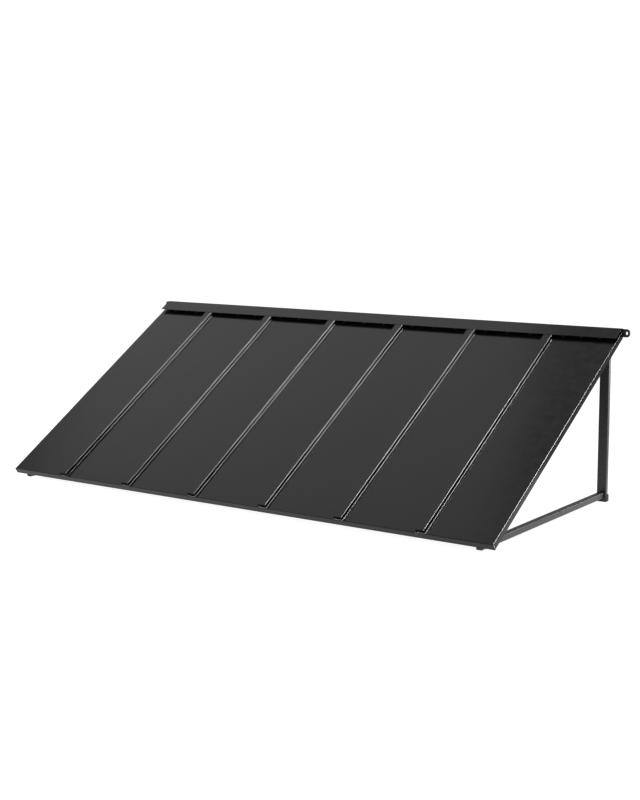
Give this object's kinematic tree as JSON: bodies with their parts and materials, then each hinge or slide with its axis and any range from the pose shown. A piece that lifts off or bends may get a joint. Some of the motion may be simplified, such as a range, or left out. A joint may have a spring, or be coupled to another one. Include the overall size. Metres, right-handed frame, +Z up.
{
  "type": "metal awning",
  "caption": "Sloping standing-seam metal awning in satin black: ribbed roof pans under a ridge flashing, carried by a tube frame that fixes flat to a wall over a door or window.",
  "frame": {"origin": "middle of the header bar's wall face, where the awning meets the wall", "axes": "+X along the wall to the right seen from in front, +Y into the wall, +Z up"},
  "size_m": [2.08, 0.906, 0.6044],
  "materials": {
    "roof_sheet": "satin black powder coat on folded sheet",
    "frame_coat": "satin black powder coat on steel tube and bar",
    "black_plastic": "matt moulded black",
    "clip_steel": "zinc-plated spring steel"
  },
  "bodies": {
    "root": {"panel_1": "roof_sheet", "panel_2": "roof_sheet", "panel_3": "roof_sheet", "panel_4": "roof_sheet", "panel_5": "roof_sheet", "panel_6": "roof_sheet", "panel_7": "roof_sheet", "ridge_flashing": "roof_sheet", "header_bar": "frame_coat", "middle_rafter": "frame_coat", "eave_rail_left": "frame_coat", "eave_rail_right": "frame_coat", "middle_rail_left": "frame_coat", "middle_rail_right": "frame_coat", "top_rail_left": "frame_coat", "top_rail_right": "frame_coat", "left_post": "frame_coat", "left_bottom_bar": "frame_coat", "left_rafter": "frame_coat", "left_corner_boot": "black_plastic", "left_post_plug": "black_plastic", "left_bar_plug": "black_plastic", "right_post": "frame_coat", "right_bottom_bar": "frame_coat", "right_rafter": "frame_coat", "right_corner_boot": "black_plastic", "right_post_plug": "black_plastic", "right_bar_plug": "black_plastic", "eave_clip_1": "clip_steel", "eave_clip_2": "clip_steel", "eave_clip_3": "clip_steel", "eave_clip_4": "clip_steel", "eave_clip_5": "clip_steel", "eave_clip_6": "clip_steel", "middle_clip_1": "clip_steel", "middle_clip_2": "clip_steel", "middle_clip_3": "clip_steel", "middle_clip_4": "clip_steel", "middle_clip_5": "clip_steel", "middle_clip_6": "clip_steel", "top_clip_1": "clip_steel", "top_clip_2": "clip_steel", "top_clip_3": "clip_steel", "top_clip_4": "clip_steel", "top_clip_5": "clip_steel", "top_clip_6": "clip_steel", "rib_closure_1": "black_plastic", "rib_closure_2": "black_plastic", "rib_closure_3": "black_plastic", "rib_closure_4": "black_plastic", "rib_closure_5": "black_plastic", "rib_closure_6": "black_plastic"}
  },
  "joints": []
}
